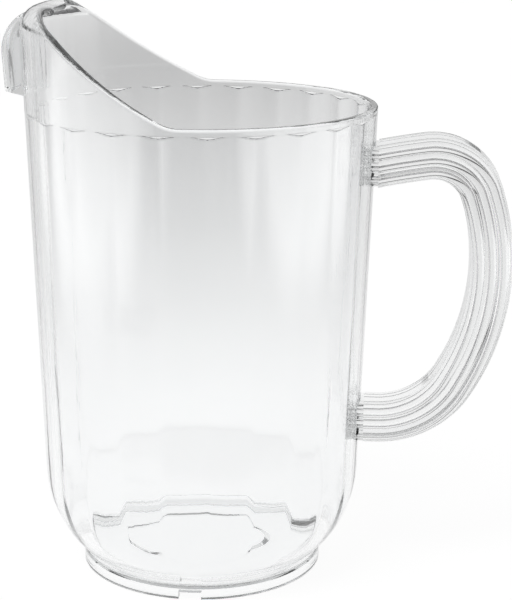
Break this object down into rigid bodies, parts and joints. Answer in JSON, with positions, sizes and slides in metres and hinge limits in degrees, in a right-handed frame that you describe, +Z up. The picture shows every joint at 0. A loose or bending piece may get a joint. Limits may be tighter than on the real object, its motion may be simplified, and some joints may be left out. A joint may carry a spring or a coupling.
{
  "type": "beer pitcher",
  "caption": "Clear plastic pitcher with a softly panelled wall, a high hooded front with a pour lip, and a beaded D handle, for serving and pouring drinks.",
  "frame": {"origin": "centre of the foot ring, on the surface that the pitcher stands on", "axes": "+Z up along the body's axis, +X towards the handle, -X towards the pour lip"},
  "size_m": [0.1881, 0.13, 0.2135],
  "materials": {
    "body_plastic": "clear, polished moulding",
    "lip_plastic": "clear, polished moulding",
    "handle_plastic": "clear, polished moulding"
  },
  "bodies": {
    "root": {"body": "body_plastic", "pour_lip": "lip_plastic", "handle": "handle_plastic"}
  },
  "joints": []
}
